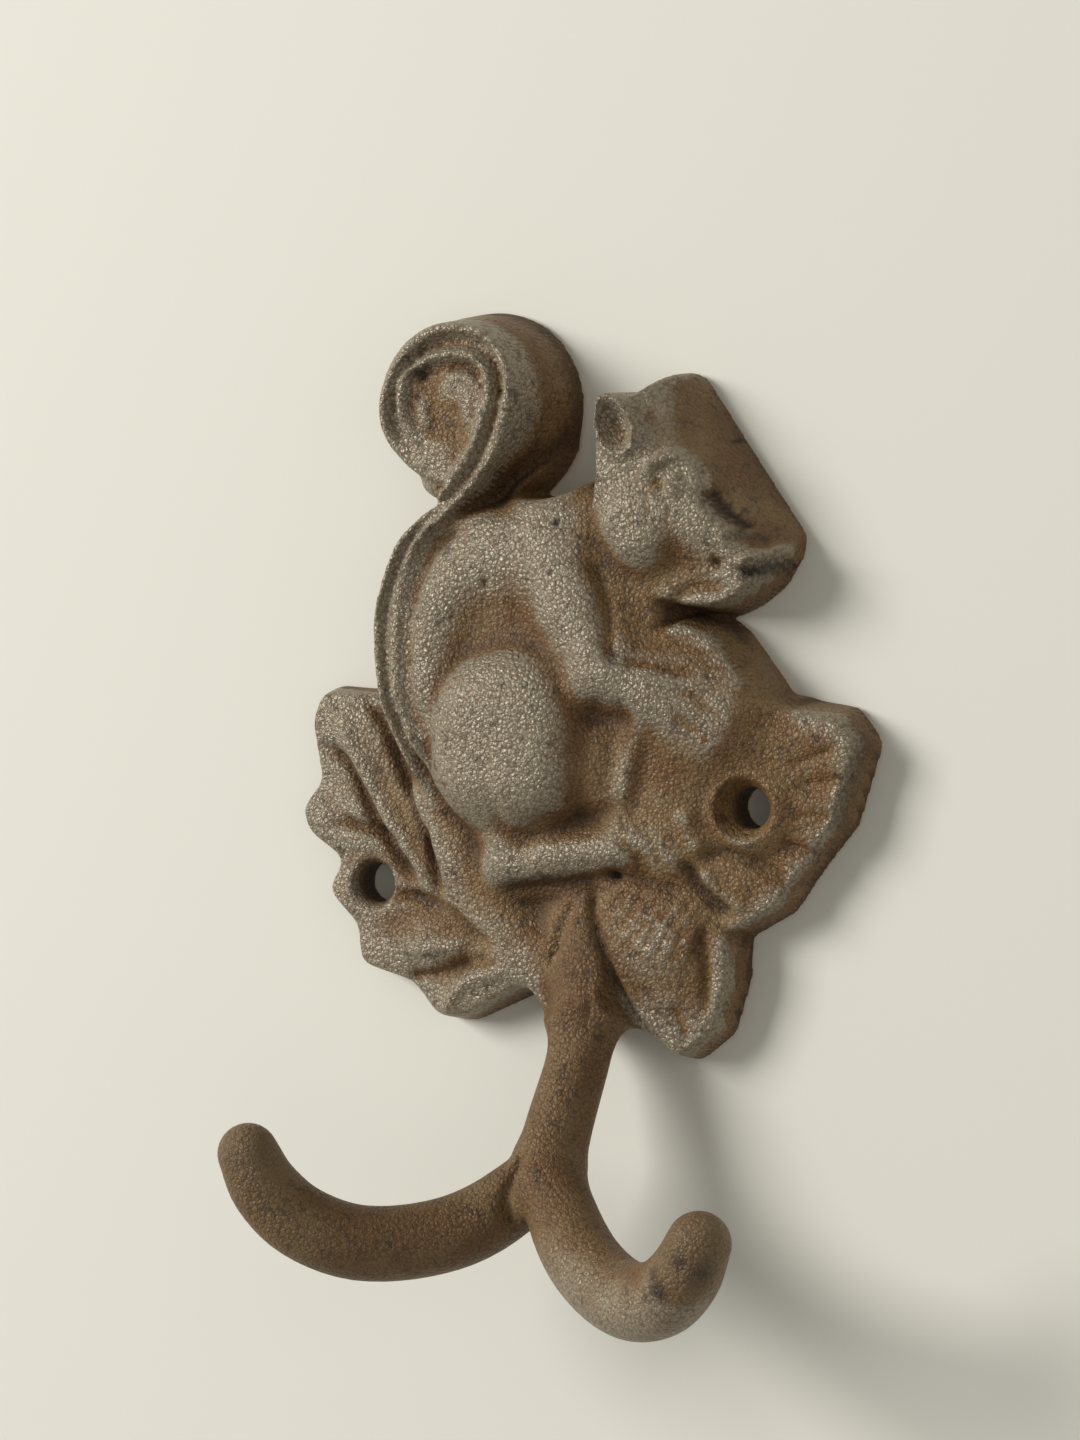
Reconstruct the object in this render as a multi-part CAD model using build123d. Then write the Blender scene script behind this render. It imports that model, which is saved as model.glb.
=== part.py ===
# Cast iron wall hook: a squirrel on oak leaves with an acorn, above two coat prongs.
# It is one casting. The relief is drawn lying flat, with u to the right, v up the wall
# and w out of the wall, and is stood against the wall at the end.
# Its front is a sheet of flat facets laid over soft forms, cut to a drafted outline.
# Finished frame: wall plane at Y = 0, front towards -Y, up is +Z. Sizes are in millimetres.
import os
from collections import namedtuple
from math import cos, hypot, radians, sin, tan

from build123d import *

# A form swells up to a crest along a line and falls away from it over its radius.
# Radius and crest are given from the start of the line to its end.
Form = namedtuple("Form", "line radius crest flat soft", defaults=(2.2, 2.0))
# A bead is a ridge, or with a negative depth a groove, along a line.
Bead = namedtuple("Bead", "line width depth")

# Casting
SINK = 2.0  # depth below the wall plane that every form is drawn to before the back is cut flat
FACET = 1.45  # edge of the relief's facets
FALL = 8.0  # drop of a form's surface at its radius
SEAM = 0.8  # height over which neighbouring groups of forms run into each other
LEAST_HEIGHT = 0.5
WALL_DRAFT = 9.0  # draft of the squirrel's upright walls, in degrees
LEAF_DRAFT = 14.0  # draft of the leaves' and the acorn's edges

# Screw holes: a straight bore at the wall, and a mouth that opens towards the front
BORE_RADIUS = 3.0
BORE_LENGTH = 2.5
MOUTH_RADIUS = 4.8
MOUTH_HEIGHT = 7.6
LEFT_SCREW = (-40.0, -9.3)
RIGHT_SCREW = (21.3, 9.2)

# Left oak leaf
LEFT_EDGE = [(-42.0, 20.4), (-52.8, 20.0), (-54.6, 14.0), (-52.4, 5.4), (-55.4, 0.6), (-53.4, -3.8),
             (-47.6, -7.0), (-49.8, -11.6), (-43.6, -16.6), (-42.2, -22.8), (-32.6, -24.4),
             (-27.8, -29.0), (-22.6, -28.6), (-12.0, -22.6), (-6.0, -27.0), (4.0, -20.0),
             (2.0, -2.0), (-24.0, 8.0)]
LEFT_TOP = 4.0
LEFT_LOBES = [
    Form([(-34.0, 5.0), (-51.0, 16.0)], (10.0, 11.0), (6.4, 7.0, 5.8), flat=2.6, soft=1.0),
    Form([(-32.0, -1.0), (-53.0, 0.0)], (9.0, 10.0), (5.6, 6.8, 5.6), flat=2.6, soft=1.0),
    Form([(-27.0, -8.0), (-48.0, -12.0)], (8.0, 9.0), (5.8, 6.8, 5.2), flat=2.6, soft=1.0),
    Form([(-19.0, -15.0), (-40.0, -21.0)], (7.0, 9.0), (6.8, 7.2, 5.6), flat=2.6, soft=1.0),
    Form([(-13.0, -18.0), (-25.5, -27.0)], (7.0, 9.0), (7.0, 7.2, 6.0), flat=2.6, soft=1.0),
]
LEFT_VEINS = [
    Bead([(-50.0, 17.0), (-42.0, 6.0), (-33.0, -6.0), (-20.0, -14.0), (-15.0, -18.0)], 1.9, 1.3),
    Bead([(-52.0, 10.5), (-46.0, 8.5), (-41.0, 2.5), (-36.0, -4.0)], 1.4, -1.2),
]

# Right oak leaf
RIGHT_EDGE = [(2.0, 26.0), (18.0, 26.0), (34.4, 25.2), (38.6, 20.4), (36.0, 8.0), (30.4, -0.6), (27.6, -5.6),
              (20.6, -10.4), (0.0, -8.0), (-4.0, 10.0)]
RIGHT_TOP = 5.0
RIGHT_LOBES = [
    Form([(20.0, 17.0), (35.0, 21.0)], (11.0, 10.0), (7.6, 6.6), flat=3.0, soft=0.8),
    Form([(20.0, 9.0), (34.5, 10.0)], (9.0, 8.0), (7.4, 6.4), flat=3.0, soft=0.8),
    Form([(12.0, 2.0), (26.0, -3.4)], (7.5, 6.5), (8.4, 6.8), flat=3.0, soft=0.8),
    Form([(9.0, 22.0), (8.0, 4.0)], (9.0, 10.0), (9.4, 8.6)),
]
RIGHT_VEINS = [Bead([(27.0, 12.0), (36.0, 18.0)], 1.3, -0.8)]

# Acorn beside the stem, and the twig
ACORN_EDGE = [(-10.0, -16.0), (0.0, -20.0), (6.0, -25.0), (12.6, -29.0), (14.8, -29.0), (20.0, -24.0),
              (21.6, -16.0), (21.4, -9.0), (16.0, -2.0), (-10.0, 0.0)]
ACORN_TOP = 5.0
ACORN_FORMS = [
    Form([(18.4, -11.0), (18.2, -20.0)], (7.0, 6.0), (6.8, 5.8), flat=3.0, soft=0.6),
    Form([(4.0, -6.0), (7.0, -10.0)], (12.0, 12.0), (8.8, 9.4), flat=2.6, soft=1.5),
    Form([(7.4, -13.0), (12.6, -25.4)], (12.0, 8.0), (9.4, 6.2)),
    Form([(-4.0, -4.0), (-6.0, -10.0), (-4.0, -15.0)], (6.0, 6.0), (8.4, 8.0), soft=1.0),
]

# Squirrel's body: back, shoulder, belly, knee and haunch
BODY_EDGE = [(-41.8, 27.0), (-38.0, 43.4), (-28.0, 51.6), (-5.0, 51.0), (9.0, 40.0), (11.0, 24.0),
             (6.0, -1.0), (-20.0, -5.0), (-35.0, 8.0)]
BACK_TOP = 12.0
BELLY_TOP = 8.2
RUMP_TOP = 6.0
BELLY_RUN = (-14.0, 4.0)  # u over which the ground falls from the back to the belly
RUMP_RUN = (22.0, 4.0)  # v over which it falls from the back to the rump
BODY_FORMS = [
    Form([(-28.0, 17.0), (-30.0, 26.0), (-29.0, 33.0), (-26.0, 39.0), (-20.0, 44.0)],
         (7.0, 7.4, 9.0), (14.4, 15.6, 15.2)),
    Form([(-20.0, 42.0), (-11.0, 45.0)], (11.0, 11.0), (14.4, 13.4)),
    Form([(3.0, 22.0), (5.4, 8.0)], (10.0, 9.0), (11.2, 10.2)),
    Form([(-3.4, 11.0), (-2.6, 18.0)], (7.4, 7.0), (13.2, 13.4), flat=2.4, soft=2.4),
    Form([(-17.6, 12.6), (-16.8, 18.8)], (12.4, 12.2), (17.8, 18.2), flat=3.0),
]

# Limbs: hind foot, upper arm and forearm
LIMB_FORMS = [
    Form([(-16.0, -0.6), (-6.0, 1.0), (3.0, 2.6), (8.4, 3.2)], (7.0, 6.0, 5.4, 5.2),
         (13.2, 13.4, 12.8, 11.4), flat=2.4, soft=1.6),
    Form([(-14.0, 42.0), (-7.0, 34.8), (-1.4, 28.0)], (9.0, 7.8, 7.0),
         (15.4, 16.2, 16.2), flat=3.0, soft=2.2),
    Form([(-1.0, 27.0), (6.0, 25.0), (12.0, 23.2), (15.4, 19.6)], (6.2, 6.0, 6.4),
         (16.4, 14.8, 11.8), flat=2.4),
]
LIMB_CREASES = [
    Bead([(-0.5, 20.4), (2.6, 19.6)], 2.4, -1.6),
    Bead([(-18.0, -6.4), (-10.0, -4.4), (5.0, -1.2)], 1.4, -1.4),
]

# Walls round the limbs and the nut, which lie over the leaves
LIMB_EDGE = [(2.0, 40.0), (11.0, 40.0), (15.6, 35.0), (24.4, 25.6), (23.0, 10.0), (13.0, -8.0),
             (-18.0, -10.0), (-36.0, 4.0), (-20.0, 20.0)]

# Nut held in the paws
NUT_EDGE = [(2.0, 34.0), (9.0, 37.2), (15.6, 35.0), (24.4, 25.6), (18.0, 24.0), (6.0, 26.0)]
NUT_TOP = 7.4
NUT_FORMS = [Form([(8.0, 31.6), (19.0, 28.6)], (9.0, 8.0), (11.4, 10.0), flat=2.6)]

# Head: skull, muzzle, cheek and the root of the ear, with a flat crown from the brow down to the wall
HEAD_EDGE = [(-7.0, 43.0), (-5.0, 54.0), (-5.8, 63.0), (-4.6, 67.0), (-1.2, 67.0), (2.6, 71.0),
             (6.0, 70.4), (24.4, 48.2), (23.8, 44.6), (21.6, 40.4), (18.2, 37.5), (14.8, 35.6), (0.0, 36.0)]
HEAD_TOP = 11.0
CROWN_EDGE = [(6.0, 70.4), (24.4, 48.2)]
CROWN_DRAFT = 23.0
CROWN_FOOT = 1.0  # height of the crown's lower edge
HEAD_FORMS = [
    Form([(-1.0, 55.4), (10.0, 51.4)], (12.0, 11.0), (14.4, 13.6), flat=2.6),
    Form([(8.0, 48.0), (20.0, 45.6)], (9.0, 7.0), (13.2, 10.6), flat=2.4),
    Form([(1.6, 49.2), (3.2, 47.8)], (8.4, 8.4), (15.6, 15.6), flat=2.6),
    Form([(-2.4, 63.6), (0.8, 58.4)], (6.0, 6.4), (14.0, 14.4), flat=3.0, soft=1.5),
]
HEAD_BEADS = [
    Bead([(4.4, 57.2), (8.0, 58.0), (12.4, 53.8)], 1.5, 1.2),
    Bead([(12.6, 53.8), (16.0, 50.5), (19.8, 48.2)], 1.3, -1.5),
    Bead([(7.6, 53.4), (8.2, 53.2)], 1.4, 0.9),
    Bead([(19.4, 42.8), (26.0, 46.0)], 1.2, -1.2),
]

# Ear: an oval cup that leans back
EAR_CENTRE = (-1.4, 61.8)
EAR_LENGTH = 10.4
EAR_WIDTH = 6.0
EAR_LEAN = 116.0  # turn of the oval's long axis from level, in degrees
EAR_WALL = [(1.0, 5.0), (1.0, 14.2), (0.9, 15.0)]  # rings up the outside: share of the oval, height
EAR_DISH = [(0.76, 16.0), (0.76, 14.8), (0.56, 13.4), (0.25, 12.6)]  # rings down the hollow
EAR_SIDES = 16

# Tail: a bun against the wall, and a band of two ridges that climbs the back and curls on the bun
BUN_CENTRE = (-28.2, 63.2)
BUN_RADIUS = 15.2
BUN_FACE_CENTRE = (-29.6, 63.6)
BUN_FACE_RADIUS = 11.4
BUN_FACE_HEIGHT = 13.6
BUN_DISH = 12.4  # height inside the curl
BUN_SIDES = 28
BOSS = [Form([(-28.6, 66.0), (-26.4, 64.4), (-25.8, 60.6)], (6.0, 5.0, 5.0), (14.4, 14.8, 14.2))]
OUTER_RIDGE = [(-22.0, -1.6), (-29.0, 11.0), (-34.5, 24.0), (-34.5, 36.0), (-32.0, 43.0), (-26.5, 48.6),
               (-20.0, 60.0), (-20.5, 70.0), (-29.0, 74.5), (-38.0, 69.0), (-40.0, 63.0),
               (-39.0, 58.0), (-33.0, 55.0)]
INNER_RIDGE = [(-24.6, -3.0), (-31.4, 10.0), (-37.5, 21.0), (-38.8, 34.0), (-36.0, 42.0), (-31.0, 48.5),
               (-23.5, 60.0), (-23.5, 68.6), (-30.0, 70.5), (-36.0, 67.4), (-37.1, 62.0),
               (-35.5, 59.0), (-31.0, 56.5)]
RIDGE_CREST = (9.0, 14.4, 15.2, 15.2, 15.2, 15.2, 15.2, 15.2)  # along the band, from its root
VALLEY_DROP = 1.4
SHOULDER_DROP = 2.0
RIDGE_EDGE = 1.1  # from a ridge to the edge of the band
BAND_FLOOR = 4.0
BAND_STATIONS = 60

# Stem and prongs
STEM_LINE = [(0.0, -9.0, 1.0), (0.0, -29.0, 11.4), (0.0, -46.0, 18.8)]
STEM_RADII = (5.4, 4.6, 5.2)
STEM_STATIONS = 8
PRONG_SPLAY = 56.0  # turn of each prong from straight out of the wall, in degrees
PRONG_LINE = [(0.0, -44.6), (9.0, -52.4), (17.0, -55.8), (26.0, -56.6), (34.0, -54.2), (39.4, -49.8),
              (42.4, -44.8)]  # reach from the stem's foot, and height
PRONG_RADII = (4.7, 5.2, 5.3, 5.3, 5.2, 4.9, 4.3)
PRONG_STATIONS = 16
BAR_SIDES = 14
END_ANGLES = (35.0, 65.0, 82.0)  # where the rings of a prong's rounded end stand


def along(values, share):
    """The value part of the way along a list, straight between its entries."""
    place = share * (len(values) - 1)
    before = min(int(place), len(values) - 2)
    return values[before] + (values[before + 1] - values[before]) * (place - before)


def soft_max(a, b, reach):
    """The larger of two heights, rounded over where they come within reach of each other."""
    overlap = max(reach - abs(a - b), 0.0)
    return max(a, b) + overlap * overlap / (4 * reach)


def nearest(line, u, v):
    """Distance from a place to a line, and the share of the way along it."""
    best, share = None, 0.0
    for i, ((au, av), (bu, bv)) in enumerate(zip(line, line[1:])):
        du, dv = bu - au, bv - av
        t = min(max(((u - au) * du + (v - av) * dv) / (du * du + dv * dv), 0.0), 1.0)
        gap = hypot(u - au - t * du, v - av - t * dv)
        if best is None or gap < best:
            best, share = gap, (i + t) / (len(line) - 1)
    return best, share


def outside(edge, u, v):
    """Distance outside a closed outline, negative inside it."""
    gap, _ = nearest(edge + edge[:1], u, v)
    inside = False
    for (au, av), (bu, bv) in zip(edge, edge[1:] + edge[:1]):
        if (av > v) != (bv > v) and u < au + (bu - au) * (v - av) / (bv - av):
            inside = not inside
    return -gap if inside else gap


def swollen(ground, forms, u, v):
    """The ground's height with the forms laid softly over it."""
    level = ground
    for form in forms:
        gap, share = nearest(form.line, u, v)
        crest = along(form.crest, share)
        level = soft_max(level, crest - FALL * (gap / along(form.radius, share)) ** form.flat, form.soft)
    return level


def beaded(level, beads, u, v):
    """The height with ridges and grooves added."""
    for bead in beads:
        gap, _ = nearest(bead.line, u, v)
        level += bead.depth * 2.0 ** -((gap / bead.width) ** 2)
    return level


def bounded(level, edge, draft, u, v):
    """The height inside an outline. It holds for one facet outside, and then drops steeply."""
    over = outside(edge, u, v) - FACET
    return min(level, level - over / tan(radians(draft)))


def run_share(run, place):
    """Share of the way along a run from its start to its end."""
    return min(max((place - run[0]) / (run[1] - run[0]), 0.0), 1.0)


def crown(u, v):
    """Height of the flat crown of the head."""
    (au, av), (bu, bv) = CROWN_EDGE
    inset = ((bv - av) * (u - au) - (bu - au) * (v - av)) / hypot(bu - au, bv - av)
    return CROWN_FOOT + inset / tan(radians(CROWN_DRAFT))


def relief_height(u, v):
    """Height of the casting's front over a place on the wall."""
    left = beaded(swollen(LEFT_TOP, LEFT_LOBES, u, v), LEFT_VEINS, u, v)
    right = beaded(swollen(RIGHT_TOP, RIGHT_LOBES, u, v), RIGHT_VEINS, u, v)
    belly = along((BACK_TOP, BELLY_TOP), run_share(BELLY_RUN, u))
    rump = along((BACK_TOP, RUMP_TOP), run_share(RUMP_RUN, v))
    body = swollen(min(belly, rump), BODY_FORMS, u, v)
    head = min(beaded(swollen(HEAD_TOP, HEAD_FORMS, u, v), HEAD_BEADS, u, v), crown(u, v))
    groups = [
        bounded(left, LEFT_EDGE, LEAF_DRAFT, u, v),
        bounded(right, RIGHT_EDGE, LEAF_DRAFT, u, v),
        bounded(swollen(ACORN_TOP, ACORN_FORMS, u, v), ACORN_EDGE, LEAF_DRAFT, u, v),
        bounded(swollen(NUT_TOP, NUT_FORMS, u, v), NUT_EDGE, LEAF_DRAFT, u, v),
        bounded(body, BODY_EDGE, WALL_DRAFT, u, v),
        bounded(head, HEAD_EDGE, WALL_DRAFT, u, v),
        bounded(swollen(BUN_DISH, BOSS, u, v), bun_ring(BUN_CENTRE, BUN_RADIUS), WALL_DRAFT, u, v),
    ]
    level = LEAST_HEIGHT
    for group in groups:
        level = soft_max(level, group, SEAM)
    return beaded(swollen(level, LIMB_FORMS, u, v), LIMB_CREASES, u, v)


def flat(*corners):
    return Face(Wire.make_polygon(corners))


def skin(rings):
    """A closed solid of flat facets through rings of points, with flat ends."""
    faces = [flat(*rings[0]), flat(*rings[-1])]
    for low, high in zip(rings, rings[1:]):
        for i in range(len(low)):
            j = (i + 1) % len(low)
            faces += [flat(low[i], low[j], high[j]), flat(low[i], high[j], high[i])]
    return Solid(Shell(faces))


def relief_sheet():
    """A block with a flat back, its front facetted over the forms of the whole relief."""
    every_edge = LEFT_EDGE + RIGHT_EDGE + ACORN_EDGE + BODY_EDGE + HEAD_EDGE
    every_edge += bun_ring(BUN_CENTRE, BUN_RADIUS)
    row_step = FACET * sin(radians(60))
    low_u, low_v = (min(p[k] for p in every_edge) - 2 * FACET for k in (0, 1))
    columns = int((max(p[0] for p in every_edge) - low_u) / FACET) + 3
    rows = int((max(p[1] for p in every_edge) - low_v) / row_step) + 3
    points = []
    for j in range(rows):
        places = [(low_u + (i + 0.5 * (j % 2)) * FACET, low_v + j * row_step) for i in range(columns)]
        points.append([(u, v, relief_height(u, v)) for u, v in places])
    faces = []
    for j, (low, high) in enumerate(zip(points, points[1:])):
        for i in range(columns - 1):
            a, b, c, d = low[i], low[i + 1], high[i], high[i + 1]
            faces += [flat(a, b, c), flat(b, d, c)] if j % 2 == 0 else [flat(a, b, d), flat(a, d, c)]
    right_side = [row[-1] for row in points[1:]]
    left_side = [row[0] for row in points[-2:0:-1]]
    rim = points[0] + right_side + points[-1][-2::-1] + left_side
    foot = [(u, v, -SINK) for u, v, w in rim]
    for i in range(len(rim)):
        faces += [flat(rim[i], foot[i], foot[i - 1]), flat(rim[i], foot[i - 1], rim[i - 1])]
    return Solid(Shell(faces + [flat(*foot)]))


def inset(edge, depth):
    """An outline with every side moved in by a depth, or out where the depth is negative."""
    moved = []
    for (au, av), (bu, bv), (cu, cv) in zip(edge[-1:] + edge[:-1], edge, edge[1:] + edge[:1]):
        before, after = hypot(bu - au, bv - av), hypot(cu - bu, cv - bv)
        nu, nv = (bv - av) / before, (au - bu) / before
        mu, mv = (cv - bv) / after, (bu - cu) / after
        reach = depth * turn_side(edge) / (1 + nu * mu + nv * mv)
        moved.append((bu + reach * (nu + mu), bv + reach * (nv + mv)))
    return moved


def turn_side(edge):
    """1 for an outline that runs clockwise, and -1 for one that runs the other way."""
    area = sum(a[0] * b[1] - b[0] * a[1] for a, b in zip(edge, edge[1:] + edge[:1]))
    return 1 if area < 0 else -1


def wall_block(edge, rise, draft):
    """An outline at the wall, raised with drafted sides."""
    slope = tan(radians(draft))
    return skin([[(u, v, w) for u, v in inset(edge, w * slope)] for w in (-SINK, rise)])


def bun_ring(centre, radius):
    """The points of a regular polygon round a centre."""
    turns = [radians(360 * i / BUN_SIDES) for i in range(BUN_SIDES)]
    return [(centre[0] + radius * cos(t), centre[1] + radius * sin(t)) for t in turns]


def bun_block():
    """A leaning cone with flat sides, from the wall to the face of the bun."""
    past_face = 1.6  # the cone is drawn on past its face, so that the boss is not cut
    rings = []
    for share in (-SINK / BUN_FACE_HEIGHT, past_face):
        centre = [a + (b - a) * share for a, b in zip(BUN_CENTRE, BUN_FACE_CENTRE)]
        radius = BUN_RADIUS + (BUN_FACE_RADIUS - BUN_RADIUS) * share
        rings.append([(u, v, BUN_FACE_HEIGHT * share) for u, v in bun_ring(centre, radius)])
    return skin(rings)


def ear_form(shares):
    """Rings of the ear's oval at different sizes and heights, joined to one solid."""
    turns = [radians(360 * i / EAR_SIDES) for i in range(EAR_SIDES)]
    along_u, along_v = cos(radians(EAR_LEAN)), sin(radians(EAR_LEAN))
    rings = []
    for share, w in shares:
        oval = [(share * EAR_LENGTH / 2 * cos(t), share * EAR_WIDTH / 2 * sin(t)) for t in turns]
        turned = [(a * along_u - b * along_v, a * along_v + b * along_u) for a, b in oval]
        rings.append([(EAR_CENTRE[0] + u, EAR_CENTRE[1] + v, w) for u, v in turned])
    return skin(rings)


def tail_band():
    """The tail's band, with a ridge along each edge, its section taken across from ridge to ridge."""
    outer, inner = Spline(*OUTER_RIDGE), Spline(*INNER_RIDGE)
    rings = []
    for i in range(BAND_STATIONS + 1):
        a, b = inner @ (i / BAND_STATIONS), outer @ (i / BAND_STATIONS)
        across = (b - a).normalized() * RIDGE_EDGE
        crest = along(RIDGE_CREST, i / BAND_STATIONS)
        section = [(a - across, BAND_FLOOR), (a - across, crest - SHOULDER_DROP), (a, crest),
                   ((a + b) / 2, crest - VALLEY_DROP), (b, crest), (b + across, crest - SHOULDER_DROP),
                   (b + across, BAND_FLOOR)]
        rings.append([(p.X, p.Y, w) for p, w in section])
    return skin(rings)


def bar(points, radii, stations, side, round_end=False):
    """A bar with flat sides through points that lie in one plane, side being square to that plane."""
    path = Spline(*points)
    shares = [i / stations for i in range(stations + 1)]
    stops = [(path @ s, path % s, along(radii, s)) for s in shares]
    if round_end:
        end, out, radius = stops[-1]
        for angle in END_ANGLES:
            stops.append((end + out * (radius * sin(radians(angle))), out, radius * cos(radians(angle))))
    turns = [radians(360 * (i + 0.5) / BAR_SIDES) for i in range(BAR_SIDES)]
    rings = []
    for centre, out, radius in stops:
        across = Vector(*side)
        up = out.cross(across)
        rings.append([tuple(centre + across * (radius * cos(t)) + up * (radius * sin(t))) for t in turns])
    return skin(rings)


def hook():
    """The stem, and the two prongs that leave its foot to either side."""
    forms = [bar(STEM_LINE, STEM_RADII, STEM_STATIONS, (1, 0, 0), round_end=True)]
    foot = STEM_LINE[-1][2]
    for side in (-1, 1):
        reach_u = side * sin(radians(PRONG_SPLAY))
        reach_w = cos(radians(PRONG_SPLAY))
        points = [(reach * reach_u, height, foot + reach * reach_w) for reach, height in PRONG_LINE]
        forms.append(bar(points, PRONG_RADII, PRONG_STATIONS, (reach_w, 0, -reach_u), round_end=True))
    return forms


def screw_hole(centre):
    """A straight bore with a mouth that opens towards the front."""
    profile = make_face(Polyline(
        (0, -SINK), (BORE_RADIUS, -SINK), (BORE_RADIUS, BORE_LENGTH), (MOUTH_RADIUS, MOUTH_HEIGHT),
        (MOUTH_RADIUS, 2 * MOUTH_HEIGHT), (0, 2 * MOUTH_HEIGHT), close=True))
    return Pos(*centre, 0) * revolve(Plane.XZ * profile, Axis.Z)


def clear_of(forms):
    """A height that clears every crest of the forms."""
    return max(max(form.crest) for form in forms) + FACET


def outline():
    """The casting's drafted walls, each raised above the forms inside it."""
    leaf_rise = clear_of(LEFT_LOBES + RIGHT_LOBES + ACORN_FORMS)
    blocks = [wall_block(edge, leaf_rise, LEAF_DRAFT) for edge in (LEFT_EDGE, RIGHT_EDGE, ACORN_EDGE)]
    blocks.append(wall_block(LIMB_EDGE, clear_of(LIMB_FORMS + NUT_FORMS), WALL_DRAFT))
    blocks.append(wall_block(BODY_EDGE, clear_of(BODY_FORMS + LIMB_FORMS), WALL_DRAFT))
    blocks.append(wall_block(HEAD_EDGE, clear_of(HEAD_FORMS), WALL_DRAFT))
    return blocks[0] + blocks[1:] + bun_block()


def casting():
    relief = relief_sheet() & outline()
    relief += [tail_band(), ear_form(EAR_WALL)] + hook()
    relief -= [ear_form(EAR_DISH), screw_hole(LEFT_SCREW), screw_hole(RIGHT_SCREW)]
    relief = split(relief, Plane.XY, keep=Keep.TOP)
    return Plane.XZ * relief


if __name__ == "__main__":
    shape = casting()
    os.makedirs("parts", exist_ok=True)
    export_step(shape, "parts/hook_casting.step")
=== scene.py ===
import math

import bpy
import numpy as np
import openvdb
from mathutils import Matrix, Vector


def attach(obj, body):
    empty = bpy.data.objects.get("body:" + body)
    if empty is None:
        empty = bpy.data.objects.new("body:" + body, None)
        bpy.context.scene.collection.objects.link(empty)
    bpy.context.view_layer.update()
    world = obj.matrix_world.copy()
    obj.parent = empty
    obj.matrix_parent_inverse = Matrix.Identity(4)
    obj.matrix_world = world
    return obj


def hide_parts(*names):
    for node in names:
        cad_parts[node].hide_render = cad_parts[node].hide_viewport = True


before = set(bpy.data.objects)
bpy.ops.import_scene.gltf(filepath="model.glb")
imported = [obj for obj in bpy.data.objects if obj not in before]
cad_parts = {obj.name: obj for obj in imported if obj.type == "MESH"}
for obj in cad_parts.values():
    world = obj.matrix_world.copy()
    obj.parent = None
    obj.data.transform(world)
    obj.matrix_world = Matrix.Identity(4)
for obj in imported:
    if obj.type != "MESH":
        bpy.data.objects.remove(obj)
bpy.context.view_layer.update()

# The casting is shaped in millimetres: x to the right, z up, height off the wall.
millimetre = 0.001
grid = {"pitch": 0.55, "x": (-58.0, 42.0), "height": (-1.8, 48.6), "z": (-65.0, 81.0)}


def steps(span):
    return np.arange(span[0], span[1], grid["pitch"], dtype=np.float32)


xLine, heightLine, zLine = steps(grid["x"]), steps(grid["height"]), steps(grid["z"])
xField, zField = np.meshgrid(xLine, zLine, indexing="ij")


# lines and outlines

def smoothLine(points, perSpan=6):  # Catmull-Rom through the points
    p = np.asarray(points, float)
    p = np.vstack([2 * p[0] - p[1], p, 2 * p[-1] - p[-2]])
    t = np.linspace(0, 1, perSpan, endpoint=False)[:, None]
    spans = []
    for a, b, c, d in zip(p, p[1:], p[2:], p[3:]):
        cubic = 2 * a - 5 * b + 4 * c - d + t * (3 * (b - c) + d - a)
        spans.append(b + 0.5 * t * (c - a + t * cubic))
    return np.vstack([*spans, p[-2:-1]])


def nearest(points, reach):
    # distance to a line and the share of the way along it, in the window that the line can reach
    p = np.asarray(points, float)
    low, high = p.min(0) - reach, p.max(0) + reach
    window = tuple(slice(*np.searchsorted(line, (low[i], high[i]))) for i, line in enumerate((xLine, zLine)))
    x, z = xField[window], zField[window]
    lengths = np.hypot(*(p[1:] - p[:-1]).T)
    done, total = 0.0, lengths.sum()
    best = np.full(x.shape, np.inf)
    share = np.zeros(x.shape)
    for (ax, az), (bx, bz), length in zip(p, p[1:], lengths):
        t = (((x - ax) * (bx - ax) + (z - az) * (bz - az)) / max(length, 1e-9) ** 2).clip(0, 1)
        gap = np.hypot(x - ax - t * (bx - ax), z - az - t * (bz - az))
        closer = gap < best
        best = np.where(closer, gap, best)
        share = np.where(closer, (done + t * length) / total, share)
        done += length
    return window, best, share


def insideGap(points):
    # signed distance to a closed outline, negative inside
    p = np.asarray(points, float)
    gap = np.full(xField.shape, np.inf)
    inside = np.zeros(xField.shape, bool)
    for (ax, az), (bx, bz) in zip(p, np.roll(p, -1, axis=0)):
        length = max(math.hypot(bx - ax, bz - az), 1e-9)
        t = (((xField - ax) * (bx - ax) + (zField - az) * (bz - az)) / length ** 2).clip(0, 1)
        gap = np.minimum(gap, np.hypot(xField - ax - t * (bx - ax), zField - az - t * (bz - az)))
        if az != bz:
            crossing = (bx - ax) * (zField - az) / (bz - az) + ax
            inside ^= ((az > zField) != (bz > zField)) & (xField < crossing)
    return np.where(inside, -gap, gap)


def lineInset(start, end):
    # distance to the right of a straight line
    (ax, az), (bx, bz) = start, end
    length = math.hypot(bx - ax, bz - az)
    return ((bz - az) * (xField - ax) - (bx - ax) * (zField - az)) / length


# soft joins and smoothing

def blur(field, sigma):
    radius = max(1, int(3 * sigma / grid["pitch"]))
    weights = np.exp(-0.5 * (np.arange(-radius, radius + 1) * grid["pitch"] / sigma) ** 2)
    weights /= weights.sum()
    for axis in (0, 1):
        size = field.shape[axis]
        padded = np.pad(field, [(radius, radius) if a == axis else (0, 0) for a in (0, 1)], mode="edge")
        field = sum(w * padded.take(range(i, i + size), axis) for i, w in enumerate(weights))
    return field


def softMin(a, b, reach):
    mix = np.maximum(reach - np.abs(a - b), 0) / reach
    return np.minimum(a, b) - mix * mix * reach / 4


def softMax(a, b, reach):
    return -softMin(-a, -b, reach)


def smoothStep(low, high, value):
    t = ((value - low) / (high - low)).clip(0, 1)
    return t * t * (3 - 2 * t)


def bell(gap, width):
    return np.exp(-(gap / width) ** 2)


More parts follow.
